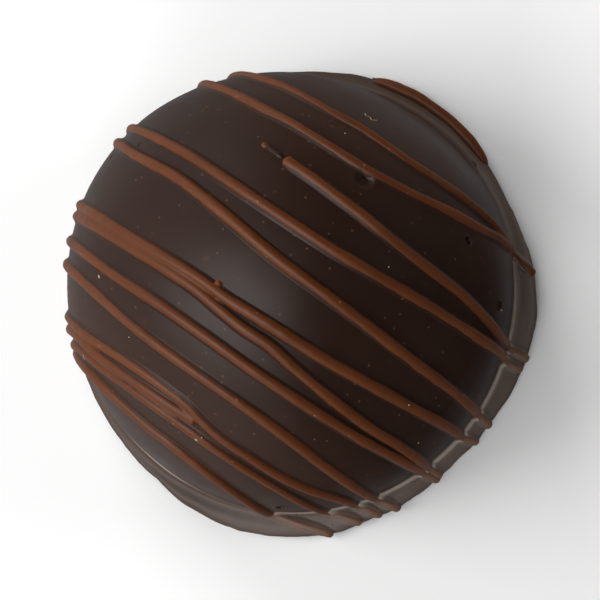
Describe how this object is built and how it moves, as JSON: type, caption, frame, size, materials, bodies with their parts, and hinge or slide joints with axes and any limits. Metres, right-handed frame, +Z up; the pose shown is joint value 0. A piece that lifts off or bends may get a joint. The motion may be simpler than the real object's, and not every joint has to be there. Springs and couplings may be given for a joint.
{
  "type": "chocolate truffle",
  "caption": "Round chocolate truffle dipped in dark chocolate, with a spread foot and thin lines of milk chocolate drizzled across the dome.",
  "frame": {"origin": "middle of the flat base, on the surface the truffle stands on", "axes": "+Z up, +X along the way the drizzle strands run, +Y across them"},
  "size_m": [0.0344, 0.0348, 0.0213],
  "materials": {
    "dark_chocolate": "dark chocolate shell, satin to glossy, with fine pinholes",
    "milk_chocolate": "milk chocolate drizzle, satin"
  },
  "bodies": {
    "root": {"coating": "dark_chocolate", "strand_01": "milk_chocolate", "strand_02": "milk_chocolate", "strand_03": "milk_chocolate", "strand_04": "milk_chocolate", "strand_05": "milk_chocolate", "strand_06": "milk_chocolate", "strand_07": "milk_chocolate", "strand_08": "milk_chocolate", "strand_09": "milk_chocolate", "strand_10": "milk_chocolate", "strand_joining": "milk_chocolate", "strand_starting": "milk_chocolate", "strand_on_foot": "milk_chocolate"}
  },
  "joints": []
}
